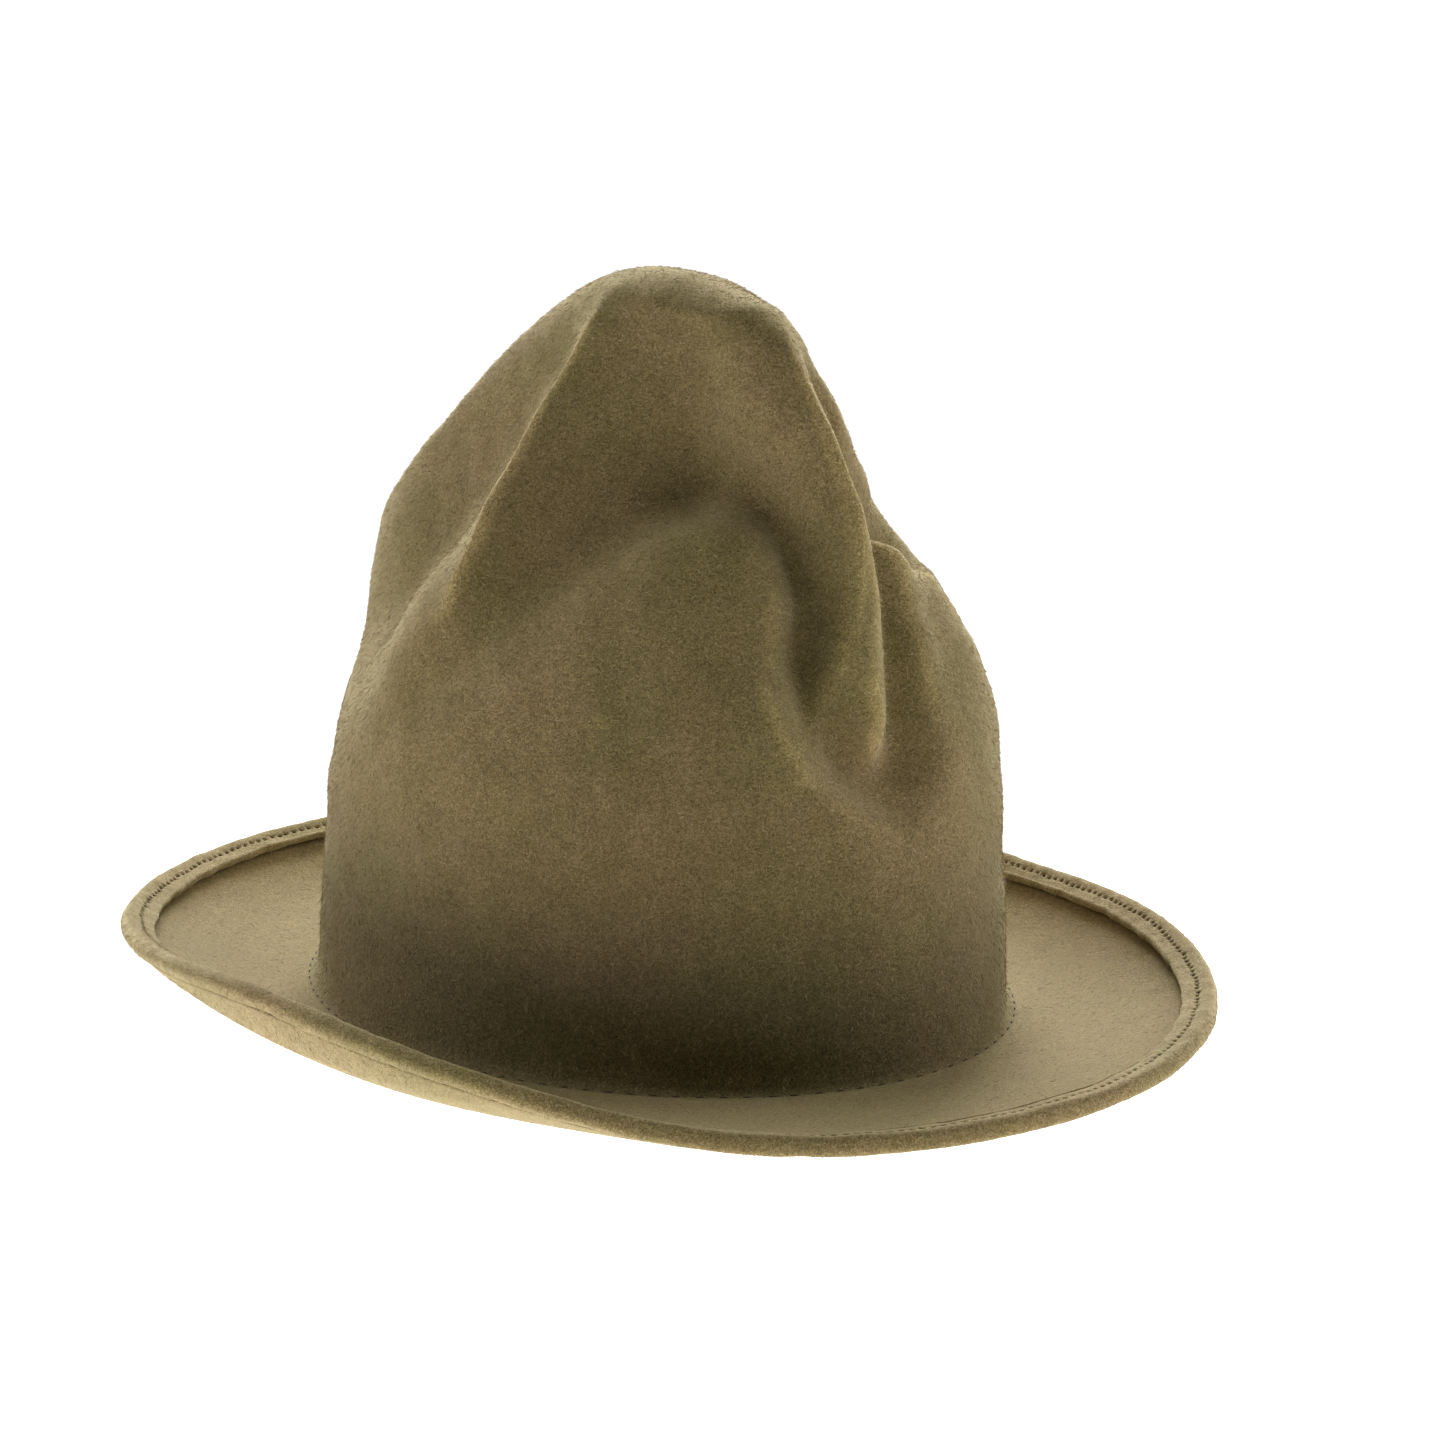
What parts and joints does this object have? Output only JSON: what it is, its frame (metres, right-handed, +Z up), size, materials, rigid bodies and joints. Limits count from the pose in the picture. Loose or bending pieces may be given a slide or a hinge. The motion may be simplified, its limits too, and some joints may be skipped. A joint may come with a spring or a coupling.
{
  "type": "mountain hat",
  "caption": "Tall felt hat with a pinched, dented peak and a wide brim rolled up at the sides, its edge folded over and sewn.",
  "frame": {"origin": "centre of the outline at the surface that the hat rests on", "axes": "+Z up, -Y towards the front of the hat with the single front ridge, +X to the wearer's left"},
  "size_m": [0.2588, 0.323, 0.196],
  "materials": {
    "felt": "olive brown fur felt with a short brushed nap, dull, with a soft sheen at grazing angles"
  },
  "bodies": {
    "root": {"felt_body": "felt"}
  },
  "joints": []
}
